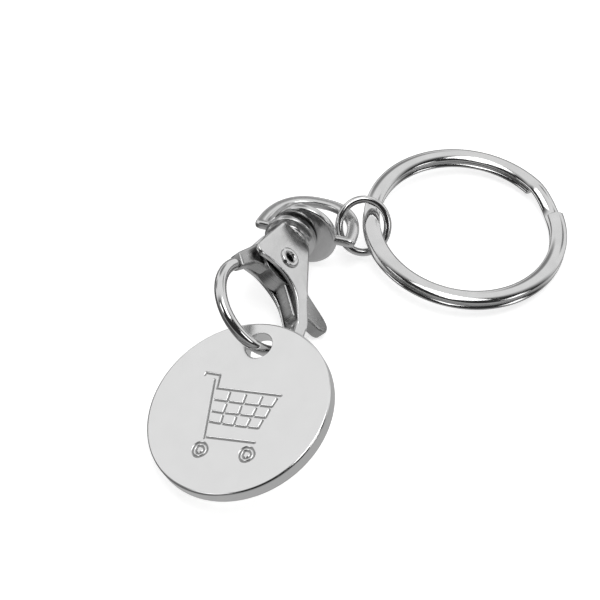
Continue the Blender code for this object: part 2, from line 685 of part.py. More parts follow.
def make_label(marker, material):
    """The domed label that fills the recess round the hole."""
    radius = COIN_DIAMETER / 2 - COIN_RIM_WIDTH - FIT
    top = -COIN_THICKNESS / 2 + RECESS_DEPTH - FIT
    low = top - LABEL_THICKNESS
    profile = [(0.0, top), (radius, top), (radius, low)]
    for across_share, dome_share in LABEL_DOME_SHARES:
        profile.append((radius * across_share, low - LABEL_DOME * dome_share))
    label = turned("coin_label", profile, marker, coin_centre(), 2 * TURN_STEPS)
    hole = HOLE_DIAMETER / 2 + HOLE_RIM_WIDTH + FIT
    combine(label, hole_cutter("label_hole", hole, marker), "DIFFERENCE")
    return finish_piece(label, material)


def stand_on_origin(assembly, pieces):
    """Move the whole keyring so that the middle of its box, at its foot, is the origin."""
    bpy.context.view_layer.update()
    corners = [piece.matrix_world @ vertex.co for piece in pieces for vertex in piece.data.vertices]
    low = Vector([min(corner[axis] for corner in corners) for axis in range(3)])
    high = Vector([max(corner[axis] for corner in corners) for axis in range(3)])
    middle = (low + high) / 2
    assembly.location = (-middle.x, -middle.y, -low.z)
    bpy.context.view_layer.update()
    print("box %.5f %.5f %.5f" % tuple(high - low))


def say_joint(name, marker, axis, frame=None):
    """Print a joint's place and axis in the world, with the axis given in the frame of a marker."""
    place = marker.matrix_world.translation
    direction = ((frame or marker).matrix_world.to_3x3() @ Vector(axis)).normalized()
    print("joint %s at %.6f %.6f %.6f along %.6f %.6f %.6f" % (name, *place, *direction))


def build():
    """Make every piece on its marker, and stand the keyring on its origin."""
    plated = metal("nickel_plated_zinc", (0.80, 0.80, 0.82), 0.16)
    steel = metal("nickel_plated_steel", (0.78, 0.78, 0.80), 0.14)
    coin_metal = metal("polished_nickel_coin", (0.86, 0.86, 0.87), 0.10)
    paper = metal("grey_label", (0.66, 0.67, 0.66), 0.35, 0.0)
    assembly = add_empty("keyring", Matrix.Identity(4))
    hook = add_empty("hook_axis", hook_frame(), assembly)
    coin = add_empty("coin_axis", coin_frame(), hook)
    eye = add_empty("swivel_axis", eye_frame(), hook)
    link = add_empty("link_axis", link_frame(), eye)
    ring = add_empty("ring_axis", ring_frame(), link)
    pieces = [make_hook(hook, plated), make_trigger(hook, plated), make_rivet(hook, steel),
              make_spring(hook, steel), make_eye(eye, plated), make_link(link, steel),
              make_ring(ring, steel), make_coin(coin, coin_metal), make_label(coin, paper)]
    stand_on_origin(assembly, pieces)
    for piece in pieces:
        low = min((piece.matrix_world @ vertex.co).z for vertex in piece.data.vertices)
        print("%s: lowest point %.5f" % (piece.name, low))
    say_joint("trigger", hook, (0.0, 0.0, 1.0))
    say_joint("swivel", hook, (1.0, 0.0, 0.0))
    say_joint("coin", coin, loop_tangent(COIN_ON_LOOP), hook)
    say_joint("link", link, along_bow(LINK_ON_BOW), eye)
    say_joint("ring", ring, (0.0, 1.0, 0.0))


PARTS = None
CUTTERS = None


def main():
    """Build the keyring in a clean scene."""
    global PARTS, CUTTERS
    clear_scene()
    PARTS = new_collection("coin_holder_keyring")
    CUTTERS = new_collection("cutters")
    build()


main()
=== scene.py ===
# %% [markdown]
# # Coin holder keyring
# A snap hook carries a trolley token by a hole near its edge. Behind the hook a cast eye swivels on a
# headed stem, and a small wire link joins the eye to a split ring. All of it is nickel plated but the
# hidden spring and the label, so this lesson is about two things: rounded edges that catch the light,
# and what the bright metal mirrors.
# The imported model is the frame. It says where every piece is and how it moves, and the pieces made here
# are finer versions of its solids, in the same places.

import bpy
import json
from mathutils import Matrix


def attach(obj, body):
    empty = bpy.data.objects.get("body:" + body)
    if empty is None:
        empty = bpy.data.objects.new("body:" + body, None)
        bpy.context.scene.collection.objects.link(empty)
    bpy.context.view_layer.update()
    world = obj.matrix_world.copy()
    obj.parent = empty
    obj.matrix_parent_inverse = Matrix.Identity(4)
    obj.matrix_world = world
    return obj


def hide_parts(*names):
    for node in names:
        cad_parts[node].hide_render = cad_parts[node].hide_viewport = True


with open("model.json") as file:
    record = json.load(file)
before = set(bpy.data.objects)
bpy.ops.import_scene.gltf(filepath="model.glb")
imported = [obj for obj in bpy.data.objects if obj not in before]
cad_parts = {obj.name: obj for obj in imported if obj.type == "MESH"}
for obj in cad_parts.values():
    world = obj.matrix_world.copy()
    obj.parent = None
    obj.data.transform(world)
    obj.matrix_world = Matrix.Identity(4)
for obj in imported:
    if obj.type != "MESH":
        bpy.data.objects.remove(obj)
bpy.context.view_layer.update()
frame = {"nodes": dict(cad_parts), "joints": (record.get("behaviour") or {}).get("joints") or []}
print("nodes:", sorted(frame["nodes"]))

# %% Tools from outside
import json
import math

import bmesh
import bpy
import numpy as np
from mathutils import Vector

# %% [markdown]
# ## Frames
# Each piece is easiest to describe lying straight in a frame of its own: the hook with its rivet along
# Z and its long side along X, the coin flat with the hole at the origin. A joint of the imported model
# gives the place of such a frame, and a few turns give its direction. The sizes in this lesson are in
# millimetres, and become metres when the points go into the frame.

# %% Turning, and the way from a piece's frame to the keyring's
MM = 0.001
joints = {joint["name"]: joint for joint in frame["joints"]}


def turn(axis, degrees):
    """A rotation matrix: cosine and sine in the plane of the two other axes."""
    cosine, sine = math.cos(math.radians(degrees)), math.sin(math.radians(degrees))
    i, j = {"X": (1, 2), "Y": (2, 0), "Z": (0, 1)}[axis]
    made = np.eye(3)
    made[i, i] = made[j, j] = cosine
    made[i, j], made[j, i] = -sine, sine
    return made


def joint_place(name):
    """Where a joint's axis is, in metres."""
    return np.array(joints[name]["pos_m"])


def into(place, points):
    """Points of a piece's frame in the keyring's: turned by the frame's axes, then moved to its origin."""
    origin, axes = place
    return points @ axes.T * MM + origin


# %% The five frames
EYE_TURN, EYE_YAW = 41.0 + 3.3, -4.5
EYE_MIDDLE_X, EYE_PLAY = -7.24, 1.5

rivet_line = np.array(joints["gate"]["axis"])
stem_line = np.array(joints["swivel"]["axis"])
hook_axes = np.stack([stem_line, np.cross(rivet_line, stem_line), rivet_line], axis=1)
hook_place = (joint_place("gate"), hook_axes)
coin_place = (joint_place("coin_hang"), turn("Z", 11.4) @ turn("Y", -20.5) @ turn("Z", -30.0))
rolled = hook_axes @ turn("X", EYE_TURN)
eye_shift = np.array([EYE_MIDDLE_X, EYE_PLAY, 0.0]) - turn("Z", EYE_YAW) @ [EYE_MIDDLE_X, 0.0, 0.0]
eye_place = (hook_place[0] + rolled @ eye_shift * MM, rolled @ turn("Z", EYE_YAW))
link_place = (joint_place("link_hang"), turn("Y", 9.0) @ turn("X", 38.9))
ring_place = (joint_place("ring_hang"), turn("Z", 4.0) @ turn("Y", 5.0))
print("the hook's long axis points along", np.round(stem_line, 3))

# %% [markdown]
# ## Surfaces from grids
# Every new piece is a grid of points that a formula gives, joined into quads. A grid can close on itself
# in one direction or in both, like a tube or a ring. Where all the points of a row are one point, the
# weld turns the row into a pole. Working with whole arrays keeps the formulas short and fast.


# %% Grids and outlines
def quads_of(points, round_rows=False, round_columns=True):
    """Join the corners (i, j), (i, j+1), (i+1, j+1) and (i+1, j) of a grid of points."""
    rows, columns = points.shape[:2]
    i, j = np.meshgrid(np.arange(rows - (not round_rows)), np.arange(columns - (not round_columns)),
                       indexing="ij")
    below, beside = (i + 1) % rows, (j + 1) % columns
    faces = np.stack([i * columns + j, i * columns + beside,
                      below * columns + beside, below * columns + j], -1)
    return points.reshape(-1, 3), faces.reshape(-1, 4).tolist()


def unit(vectors):
    """Vectors of length one."""
    return vectors / np.linalg.norm(vectors, axis=-1, keepdims=True)


def soften(corners, size, steps=6):
    """Each corner P of a closed outline becomes the parabola (1-t)^2 A + 2t(1-t) P + t^2 B.

    A and B lie on its two sides, at a distance of size, or less where a side is short.
    """
    corners = np.asarray(corners, float)
    size = np.broadcast_to(np.asarray(size, float).reshape(-1, 1), (len(corners), 1))
    back, ahead = np.roll(corners, 1, 0) - corners, np.roll(corners, -1, 0) - corners
    start = corners + unit(back) * np.minimum(size, 0.48 * np.linalg.norm(back, axis=1, keepdims=True))
    end = corners + unit(ahead) * np.minimum(size, 0.48 * np.linalg.norm(ahead, axis=1, keepdims=True))
    t = np.linspace(0.0, 1.0, steps)[None, :, None]
    curve = (1 - t) ** 2 * start[:, None] + 2 * t * (1 - t) * corners[:, None] + t ** 2 * end[:, None]
    return curve.reshape(-1, corners.shape[1])


def even(line, spacing, closed=True):
    """Points at equal steps along a line: its length is measured, then each coordinate is read off it."""
    if closed:
        line = np.vstack([line, line[:1]])
    length = np.concatenate([[0.0], np.cumsum(np.linalg.norm(np.diff(line, axis=0), axis=1))])
    count = max(3, int(round(length[-1] / spacing)))
    places = np.linspace(0.0, length[-1], count + 1)
    made = np.stack([np.interp(places, length, line[:, k]) for k in range(line.shape[1])], axis=1)
    return made[:-1] if closed else made


def arc(centre, radius, start, end, steps=24):
    """Points of a circle's arc: centre + radius * (cosine, sine) of angles in degrees."""
    angle = np.radians(np.linspace(start, end, steps))
    return np.stack([centre[0] + radius * np.cos(angle), centre[1] + radius * np.sin(angle)], axis=1)


# %% [markdown]
# ## Three ways to make a solid
# A wire or a strip is a section carried along a path. A round part, like a rivet, is a profile turned
# about an axis, as on a lathe. A cast lever is a plate: one outline, repeated in rows that go in at the
# bottom and at the top, so that its edge is a quarter circle. Beside its place, each point keeps where
# it would be if the piece were still straight: the brushing and drawing marks of the metal follow that.


# %% Carried, turned and plate
def carried(path, section, up, closed=False, end_round=0.2):
    """point = path + side * u + rise * v, where side is at right angles to the path and to up.

    An open path gets flat ends with a rounded edge: rows that move ahead by the sine of an angle and
    shrink by its cosine, down to a pole.
    """
    step = np.roll(path, -1, 0) - np.roll(path, 1, 0)
    if not closed:
        step[0], step[-1] = path[1] - path[0], path[-1] - path[-2]
    ahead = unit(step)
    side = unit(np.cross(ahead, up))
    rise = np.cross(side, ahead)
    section = np.broadcast_to(section, (len(path),) + np.shape(section)[-2:])
    offset = side[:, None] * section[..., :1] + rise[:, None] * section[..., 1:]
    run = np.concatenate([[0.0], np.cumsum(np.linalg.norm(np.diff(path, axis=0), axis=1))])
    run = np.broadcast_to(run[:, None, None], offset.shape[:2] + (1,))
    straight = np.concatenate([run, section], axis=2)
    points = path[:, None] + offset
    if closed:
        return quads_of(points, round_rows=True) + (straight.reshape(-1, 3),)
    angle = np.radians(np.array([20.0, 40.0, 60.0, 80.0, 90.0, 90.0]))[:, None, None]
    reach = np.linalg.norm(section[0], axis=1).max()
    shrink = 1.0 - end_round / reach * (1.0 - np.cos(angle))
    shrink[-1] = 0.0
    first = (path[0] - ahead[0] * end_round * np.sin(angle) + offset[0] * shrink)[::-1]
    last = path[-1] + ahead[-1] * end_round * np.sin(angle) + offset[-1] * shrink
    points = np.concatenate([first, points, last])
    straight = np.concatenate([np.repeat(straight[:1], 6, 0), straight, np.repeat(straight[-1:], 6, 0)])
    return quads_of(points) + (straight.reshape(-1, 3),)


def turned(profile, ring=False, steps=96):
    """A profile of (radius, height) turned about Z: (r cosine, r sine, h), closed as a ring if it is one."""
    angle = np.linspace(0.0, 2 * np.pi, steps, endpoint=False)[None, :]
    radius, height = profile[:, :1], profile[:, 1:]
    points = np.stack([radius * np.cos(angle), radius * np.sin(angle), height + 0 * angle], axis=-1)
    run = np.concatenate([[0.0], np.cumsum(np.linalg.norm(np.diff(profile, axis=0), axis=1))])[:, None]
    straight = np.stack([run + 0 * angle, 0.3 * np.cos(angle) + 0 * run, 0.3 * np.sin(angle) + 0 * run], -1)
    return quads_of(points, round_rows=ring) + (straight.reshape(-1, 3),)


def plate(outline, low, high, edge, steps=6):
    """Rows of one outline: row k is drawn in by edge * (1 - sine) and lies edge * (1 - cosine) inside.

    One more row a little further in, at the same height, keeps the flat face flat in its shading.
    """
    along = unit(np.roll(outline, -1, 0) - np.roll(outline, 1, 0))
    outward = np.stack([along[:, 1], -along[:, 0]], axis=1)
    angle = np.radians(np.linspace(0.0, 90.0, steps))
    inset = np.concatenate([[edge + 0.04], edge * (1.0 - np.sin(angle))])
    lift = np.concatenate([[0.0], edge * (1.0 - np.cos(angle))])
    insets = np.concatenate([inset, inset[::-1]])[:, None, None]
    heights = np.concatenate([low + lift, high - lift[::-1]])[:, None]
    flat = outline[None] - outward[None] * insets
    points = np.concatenate([flat, np.broadcast_to(heights[..., None], flat.shape[:2] + (1,))], axis=2)
    placed, faces = quads_of(points)
    count = len(outline)
    faces.append(tuple(range(count)))
    faces.append(tuple(range(len(placed) - 1, len(placed) - count - 1, -1)))
    return placed, faces, placed.copy()


def circles(rows, angle):
    """A family of circles, one a row of (middle, radius, height): (r cosine, middle + r sine, height)."""
    middle, radius, height = rows[:, :1], rows[:, 1:2], rows[:, 2:]
    across, along = radius * np.cos(angle)[None, :], middle + radius * np.sin(angle)[None, :]
    points = np.stack([across, along, height + 0 * along], axis=-1)
    return quads_of(points, round_rows=True) + (points.reshape(-1, 3).copy(),)


def round_section(radius, steps=32):
    """A circle of points: radius * (cosine, sine)."""
    return arc((0.0, 0.0), radius, 0.0, 360.0 - 360.0 / steps, steps)


# %% [markdown]
# ## Where the metal is rubbed
# Plating on a keyring is polished by keys and pockets, first of all on edges that stand out. How much an
# edge stands out can be measured on the mesh: if a point's neighbours lie behind its tangent plane, the
# point is on a ridge. The slope of its edges against its normal is averaged and kept as an attribute,
# which the materials read.


# %% From a surface to a finished object
def mark_rubbed(mesh):
    """Attribute rubbed: the mean of -normal . direction to each neighbour, times 3, from 0 to 1."""
    count = len(mesh.vertices)
    place, normal = np.empty(count * 3), np.empty(count * 3)
    mesh.vertices.foreach_get("co", place)
    mesh.vertices.foreach_get("normal", normal)
    place, normal = place.reshape(-1, 3), normal.reshape(-1, 3)
    ends = np.empty(len(mesh.edges) * 2, dtype=np.int64)
    mesh.edges.foreach_get("vertices", ends)
    a, b = ends.reshape(-1, 2).T
    ahead = place[b] - place[a]
    ahead /= np.maximum(np.linalg.norm(ahead, axis=1, keepdims=True), 1e-9)
    total = np.bincount(a, -(normal[a] * ahead).sum(1), count)
    total = total + np.bincount(b, (normal[b] * ahead).sum(1), count)
    ridge = total / np.maximum(np.bincount(a, minlength=count) + np.bincount(b, minlength=count), 1)
    rubbed = mesh.attributes.new("rubbed", "FLOAT", "POINT")
    rubbed.data.foreach_set("value", np.clip(3.0 * ridge, 0.0, 1.0))


def make_piece(name, surface, place, body, node, finish, cuts=(), sharp=35.0):
    """Put a surface into a mesh, weld it, face it outwards, cut it, and let it stand for its CAD node."""
    points, faces, straight = surface
    mesh = bpy.data.meshes.new(name)
    mesh.from_pydata(into(place, points).tolist(), [], [tuple(face) for face in faces])
    laid = mesh.attributes.new("laid_straight", "FLOAT_VECTOR", "POINT")
    laid.data.foreach_set("vector", straight.ravel())
    work = bmesh.new()
    work.from_mesh(mesh)
    bmesh.ops.remove_doubles(work, verts=work.verts, dist=1e-7)
    bmesh.ops.recalc_face_normals(work, faces=work.faces)
    work.to_mesh(mesh)
    work.free()
    piece = bpy.data.objects.new(name, mesh)
    bpy.context.scene.collection.objects.link(piece)
    for tool in cuts:
        cut_away(piece, tool)
    piece.data.shade_smooth()
    piece.data.set_sharp_from_angle(angle=math.radians(sharp))
    mark_rubbed(piece.data)
    piece.data.materials.clear()
    piece.data.materials.append(finish)
    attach(piece, body)
    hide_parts(node)
    print("%s: %d faces" % (name, len(piece.data.polygons)))
    return piece


def cut_away(piece, tool):
    """Take the shape of a tool out of a piece with an exact Boolean, and delete the tool."""
    points, faces, place = tool
    mesh = bpy.data.meshes.new("tool")
    mesh.from_pydata(into(place, points).tolist(), [], [tuple(face) for face in faces])
    work = bmesh.new()
    work.from_mesh(mesh)
    bmesh.ops.remove_doubles(work, verts=work.verts, dist=1e-7)
    bmesh.ops.recalc_face_normals(work, faces=work.faces)
    work.to_mesh(mesh)
    work.free()
    cutter = bpy.data.objects.new("tool", mesh)
    bpy.context.scene.collection.objects.link(cutter)
    modifier = piece.modifiers.new("cut", "BOOLEAN")
    modifier.operation, modifier.solver, modifier.object = "DIFFERENCE", "EXACT", cutter
    bpy.context.view_layer.update()
    cut = bpy.data.meshes.new_from_object(piece.evaluated_get(bpy.context.evaluated_depsgraph_get()))
    piece.modifiers.clear()
    piece.data = cut
    bpy.data.objects.remove(cutter)


# %% [markdown]
# ## Finishes
# All but the spring and the label is nickel plated, but the nickel was put on different pieces. A die
# casting keeps a faint ripple under its plating, drawn wire keeps lines along its length, and a turned
# rivet keeps fine rings. Nickel is a touch darker than silver. What makes it look like metal is mostly
# what it mirrors, so each finish only needs a soft change of roughness, a very small bump and polished
# edges.


# %% Colours and nodes
def colour(code):
    """A hex sRGB colour as linear light: c / 12.92 below 0.04045, else ((c + 0.055) / 1.055) ^ 2.4."""
    channels = np.array([int(code[i:i + 2], 16) for i in (1, 3, 5)]) / 255.0
    linear = np.where(channels <= 0.04045, channels / 12.92, ((channels + 0.055) / 1.055) ** 2.4)
    return (*linear, 1.0)


def add_node(tree, kind, values=None, **settings):
    """Add a node, set its properties, and give its inputs a value or a link from another node."""
    node = tree.nodes.new(kind)
    for name, setting in settings.items():
        setattr(node, name, setting)
    for name, value in (values or {}).items():
        if isinstance(value, bpy.types.NodeSocket):
            tree.links.new(value, node.inputs[name])
        else:
            node.inputs[name].default_value = value
    return node


def new_finish(name):
    """An empty material with its shader: returns the node tree and the Principled node."""
    made = bpy.data.materials.new(name)
    made.use_nodes = True
    return made, made.node_tree, made.node_tree.nodes["Principled BSDF"]


# %% [markdown]
# One recipe serves for the plated metals. Its marks are noise on the straightened place, so they can be
# stretched along a wire or round a turned part. A second, wide noise is the slight veil of handling. The
# rubbed attribute takes the roughness down on the edges.


# %% Plated metal
def plated_metal(name, bright, dull, smooth, rough, marks, ripple):
    """Nickel plating: marks = how many marks per millimetre in each straight direction, ripple in mm."""
    made, tree, shader = new_finish(name)
    laid = add_node(tree, "ShaderNodeAttribute", attribute_name="laid_straight")
    rubbed = add_node(tree, "ShaderNodeAttribute", attribute_name="rubbed")
    here = add_node(tree, "ShaderNodeTexCoord")
    stretched = add_node(tree, "ShaderNodeVectorMath", {0: laid.outputs["Vector"], 1: marks},
                         operation="MULTIPLY")
    fine = add_node(tree, "ShaderNodeTexNoise", {"Vector": stretched.outputs["Vector"], "Scale": 1.0,
                                                 "Detail": 3.0, "Roughness": 0.6})
    veil = add_node(tree, "ShaderNodeTexNoise", {"Vector": here.outputs["Object"], "Scale": 420.0,
                                                 "Detail": 2.0, "Roughness": 0.5})
    tone = add_node(tree, "ShaderNodeMix", {"Factor": veil.outputs["Fac"], "A": colour(bright),
                                            "B": colour(dull)}, data_type="RGBA")
    tree.links.new(tone.outputs["Result"], shader.inputs["Base Color"])
    polish = add_node(tree, "ShaderNodeMapRange", {"Value": fine.outputs["Fac"], "From Min": 0.3,
                                                   "From Max": 0.75, "To Min": smooth, "To Max": rough})
    handled = add_node(tree, "ShaderNodeMath", {0: veil.outputs["Fac"], 1: 0.05, 2: polish.outputs["Result"]},
                       operation="MULTIPLY_ADD")
    worn = add_node(tree, "ShaderNodeMath", {0: rubbed.outputs["Fac"], 1: -0.5 * smooth,
                                             2: handled.outputs["Value"]}, operation="MULTIPLY_ADD",
                    use_clamp=True)
    tree.links.new(worn.outputs["Value"], shader.inputs["Roughness"])
    bump = add_node(tree, "ShaderNodeBump", {"Height": fine.outputs["Fac"], "Strength": 1.0,
                                             "Distance": ripple * MM})
    tree.links.new(bump.outputs["Normal"], shader.inputs["Normal"])
    shader.inputs["Metallic"].default_value = 1.0
    return made


# %% The metals of the keyring
# Barrel-polished zinc casting under bright nickel: soft ripple of half a millimetre, satin flats
cast_nickel = plated_metal("bright_nickel_on_die_cast_zinc", "#E3E3E3", "#D3D3D3", 0.17, 0.25,
                           (2.2, 2.2, 2.2), 0.0035)
# The lever's nickel is greyer and duller than the other castings: partly a duller plating, partly painted
# shade for the lever lying between the cheeks
lever_nickel_with_painted_shade = plated_metal("duller_nickel_and_painted_shade_on_lever", "#C0C0C0", "#A4A4A4", 0.22, 0.32,
                            (2.2, 2.2, 2.2), 0.0035)
# Drawn steel wire under bright nickel: long thin lines along the wire, sharp reflections
wire_nickel = plated_metal("bright_nickel_on_drawn_steel_wire", "#E4E4E4", "#D0D0D0", 0.06, 0.12,
                           (0.5, 7.0, 7.0), 0.0008)
# Turned and flared steel rivet: fine rings from the setting tool
rivet_nickel = plated_metal("bright_nickel_on_turned_rivet", "#E4E4E4", "#CACACA", 0.10, 0.18,
                            (12.0, 1.5, 1.5), 0.0010)
# Struck and tumbled token: a soft mirror, whose reflections the tumbling has spread a little
token_nickel = plated_metal("bright_nickel_on_struck_token", "#EAEAEA", "#E4E4E4", 0.12, 0.16,
                            (1.2, 1.2, 1.2), 0.0010)
# Spring wire, oil-hardened: darker and duller than the plated pieces
spring_steel = plated_metal("oil_hardened_spring_steel", "#A6A6A6", "#828282", 0.22, 0.36,
                            (3.0, 3.0, 3.0), 0.0008)

# %% [markdown]
# ## The token
# The token is a coin blank with a hole near its edge. Its whole skin is one family of circles: a circle
# on the hole's edge grows and moves until it is the coin's edge, then goes over the rounded edge, down
# the side, back under the rim, into the label's recess and up the wall of the hole. That makes a closed
# grid without any cutting. The trolley is pressed into the upper face, as a groove whose depth depends
# only on the distance to the nearest stroke of the sign.

# %% Sizes of the token
COIN_RADIUS, COIN_HALF = 11.625, 0.925
HOLE_RADIUS, HOLE_OFFSET = 1.7, 8.5
COIN_EDGE, HOLE_EDGE = 0.3, 0.12
RIM_WIDTH, RECESS_DEPTH, HOLE_RIM = 0.75, 0.6, 0.4
SIGN_WIDTH, GROOVE_HALF, GROOVE_DEPTH = 9.5, 0.21, 0.10

SIGN_STROKES = (
    ((-0.600, 0.406), (-0.590, 0.439), (-0.389, 0.424), (-0.369, 0.234), (0.536, 0.215)),
    ((-0.442, 0.350), (-0.306, -0.472)),
    ((-0.272, -0.455), (0.398, -0.461)),
    ((-0.341, 0.071), (-0.168, 0.065), (-0.167, 0.188)),
    ((-0.131, 0.063), (0.057, 0.055), (0.062, 0.178)),
    ((0.092, 0.057), (0.276, 0.052), (0.290, 0.169)),
    ((0.311, 0.052), (0.464, 0.051), (0.496, 0.166)),
    ((-0.320, -0.092), (-0.167, -0.102), (-0.161, 0.018)),
    ((-0.127, -0.099), (0.048, -0.101), (0.051, 0.013)),
    ((0.086, -0.101), (0.245, -0.106), (0.261, 0.006)),
    ((0.282, -0.106), (0.426, -0.108), (0.448, 0.006)),
    ((-0.309, -0.239), (-0.153, -0.250), (-0.156, -0.142)),
    ((-0.114, -0.250), (0.028, -0.257), (0.033, -0.146)),
    ((0.067, -0.256), (0.212, -0.260), (0.229, -0.149)),
    ((0.248, -0.260), (0.379, -0.261), (0.401, -0.150)),
)
WHEELS = ((-0.305, -0.634), (0.344, -0.629))
WHEEL_RINGS = (0.098, 0.052)


# %% Depth of the sign
def to_strokes(x, y):
    """Distance from points to the nearest stroke: clamp the foot of the perpendicular to each segment."""
    pairs = [(line[k], line[k + 1]) for line in SIGN_STROKES for k in range(len(line) - 1)]
    nearest = np.full(x.shape, 1e3)
    for start, end in pairs:
        a, b = np.array(start) * SIGN_WIDTH, np.array(end) * SIGN_WIDTH
        share = np.clip(((x - a[0]) * (b - a)[0] + (y - a[1]) * (b - a)[1]) / ((b - a) ** 2).sum(), 0.0, 1.0)
        nearest = np.minimum(nearest, np.hypot(x - a[0] - share * (b - a)[0], y - a[1] - share * (b - a)[1]))
    for across, up in WHEELS:
        out = np.hypot(x - across * SIGN_WIDTH, y - up * SIGN_WIDTH)
        for ring in WHEEL_RINGS:
            nearest = np.minimum(nearest, np.abs(out - ring * SIGN_WIDTH))
    return nearest


def groove(distance):
    """Depth of a soft groove: depth * cosine^2 of a quarter turn from its line to its lip."""
    share = np.clip(distance / GROOVE_HALF, 0.0, 1.0)
    return GROOVE_DEPTH * np.cos(share * np.pi / 2) ** 2


# %% [markdown]
# A circle of the family has a middle, a radius and a height. Along the upper face, rows are close
# together where the sign is and far apart elsewhere, and the columns too: most of them cross the part of
# the coin that carries the sign. A pressed stroke is never reached by the polishing cloth, so it stays
# rougher than the face, and its grey tone is painted shade in the groove: a dull grey line in the bright
# face, and that is what makes the sign easy to read.


# %% The token's skin
def edge_round(middle_y, radius, size, height, start, end, steps=6):
    """Rows over a rounded edge: the radius and the height both follow a quarter circle."""
    angle = np.radians(np.linspace(start, end, steps))
    return np.stack([np.full(steps, middle_y), radius + size * np.cos(angle),
                     height + size * np.sin(angle)], 1)


def token_rows():
    """Every row's middle, radius and height, once round the section of the token."""
    share = np.concatenate([np.linspace(0.0, 0.10, 10), np.linspace(0.11, 0.80, 185),
                            np.linspace(0.81, 1.0, 12)])
    inner, outer = HOLE_RADIUS + HOLE_EDGE, COIN_RADIUS - COIN_EDGE
    face = np.stack([-HOLE_OFFSET * share, inner + (outer - inner) * share,
                     np.full(len(share), COIN_HALF)], 1)
    side = -HOLE_OFFSET
    over = edge_round(side, outer, COIN_EDGE, COIN_HALF - COIN_EDGE, 80.0, 0.0)
    under = edge_round(side, outer, COIN_EDGE, -COIN_HALF + COIN_EDGE, 0.0, -90.0)
    floor = -COIN_HALF + RECESS_DEPTH
    wall = COIN_RADIUS - RIM_WIDTH
    recess = np.array([[side, wall, -COIN_HALF], [side, wall, -COIN_HALF + 0.02], [side, wall, floor - 0.02],
                       [side, wall, floor], [side, wall - 0.03, floor]])
    rim = HOLE_RADIUS + HOLE_RIM
    back = np.array([[0.0, rim + 0.03, floor], [0.0, rim, floor], [0.0, rim, floor - 0.02],
                     [0.0, rim, -COIN_HALF + 0.02], [0.0, rim, -COIN_HALF]])
    in_under = edge_round(0.0, inner, -HOLE_EDGE, -COIN_HALF + HOLE_EDGE, 90.0, 0.0)
    in_over = edge_round(0.0, inner, -HOLE_EDGE, COIN_HALF - HOLE_EDGE, 0.0, -80.0)
    return np.concatenate([face, over, under, recess, back, in_under, in_over])


def token_skin():
    """The circles of every row, with the upper face let down by the groove's depth.

    The straightened place keeps x and y, and the depth as its third value, which the finish reads.
    """
    left = np.linspace(-195.0, -150.0, 45, endpoint=False)
    sign = np.linspace(-150.0, -30.0, 240, endpoint=False)
    right = np.linspace(-30.0, 15.0, 45, endpoint=False)
    top = np.linspace(15.0, 165.0, 60, endpoint=False)
    points, faces, straight = circles(token_rows(), np.radians(np.concatenate([left, sign, right, top])))
    upper = points[:, 2] > COIN_HALF - 1e-6
    depth = groove(to_strokes(points[:, 0], points[:, 1] + HOLE_OFFSET))
    straight[:, 2] = np.where(upper, depth, 0.0)
    points[:, 2] -= straight[:, 2]
    return points, faces, straight


def dull_grooves_with_painted_shade(finish):
    """Where the depth is more than a little, the tone goes to grey and the roughness up."""
    tree, shader = finish.node_tree, finish.node_tree.nodes["Principled BSDF"]
    laid = add_node(tree, "ShaderNodeAttribute", attribute_name="laid_straight")
    depth = add_node(tree, "ShaderNodeSeparateXYZ", {"Vector": laid.outputs["Vector"]})
    share = add_node(tree, "ShaderNodeMapRange", {"Value": depth.outputs["Z"],
                                                  "From Min": 0.15 * GROOVE_DEPTH,
                                                  "From Max": 0.7 * GROOVE_DEPTH,
                                                  "To Min": 0.0, "To Max": 1.0})
    # The grey mixed into the grooves is painted shade in the recess; the higher roughness is the duller
    # finish there.
    tone = add_node(tree, "ShaderNodeMix", {"Factor": share.outputs["Result"], "B": colour("#A6A6A6"),
                                            "A": shader.inputs["Base Color"].links[0].from_socket},
                    data_type="RGBA")
    polish = add_node(tree, "ShaderNodeMix", {"Factor": share.outputs["Result"], "B": 0.5,
                                              "A": shader.inputs["Roughness"].links[0].from_socket},
                      data_type="FLOAT")
    tree.links.new(tone.outputs["Result"], shader.inputs["Base Color"])
    tree.links.new(polish.outputs["Result"], shader.inputs["Roughness"])


dull_grooves_with_painted_shade(token_nickel)
make_piece("token_struck", token_skin(), coin_place, "token", "coin", token_nickel,
           sharp=70.0)

# %% [markdown]
# ## The label
# A round paper label lies in the recess on the back, under a clear resin dome that was poured on and drew
# itself into a lens by its surface tension. It is a plain light grey here. The dome is flat over most of
# its width, and falls off towards the hole and towards the rim.


# %% Clear resin over grey print
def label_finish():
    """Grey print with a paper mottle, under a smooth clear coat with a few small pits."""
    made, tree, shader = new_finish("clear_resin_over_grey_print")
    here = add_node(tree, "ShaderNodeTexCoord")
    mottle = add_node(tree, "ShaderNodeTexNoise", {"Vector": here.outputs["Object"], "Scale": 2500.0,
                                                   "Detail": 4.0, "Roughness": 0.7})
    tone = add_node(tree, "ShaderNodeMix", {"Factor": mottle.outputs["Fac"], "A": colour("#C9CAC8"),
                                            "B": colour("#BFC0BE")}, data_type="RGBA")
    tree.links.new(tone.outputs["Result"], shader.inputs["Base Color"])
    handled = add_node(tree, "ShaderNodeTexNoise", {"Vector": here.outputs["Object"], "Scale": 300.0,
                                                    "Detail": 3.0})
    gloss = add_node(tree, "ShaderNodeMapRange", {"Value": handled.outputs["Fac"], "To Min": 0.32,
                                                  "To Max": 0.5})
    tree.links.new(gloss.outputs["Result"], shader.inputs["Roughness"])
    wave = add_node(tree, "ShaderNodeBump", {"Height": handled.outputs["Fac"], "Strength": 1.0,
                                             "Distance": 0.006 * MM})
    tree.links.new(wave.outputs["Normal"], shader.inputs["Coat Normal"])
    shader.inputs["Coat Weight"].default_value = 1.0
    shader.inputs["Coat Roughness"].default_value = 0.06
    return made


LABEL_GAP, LABEL_EDGE, LABEL_DOME = 0.2, 0.3, 0.15


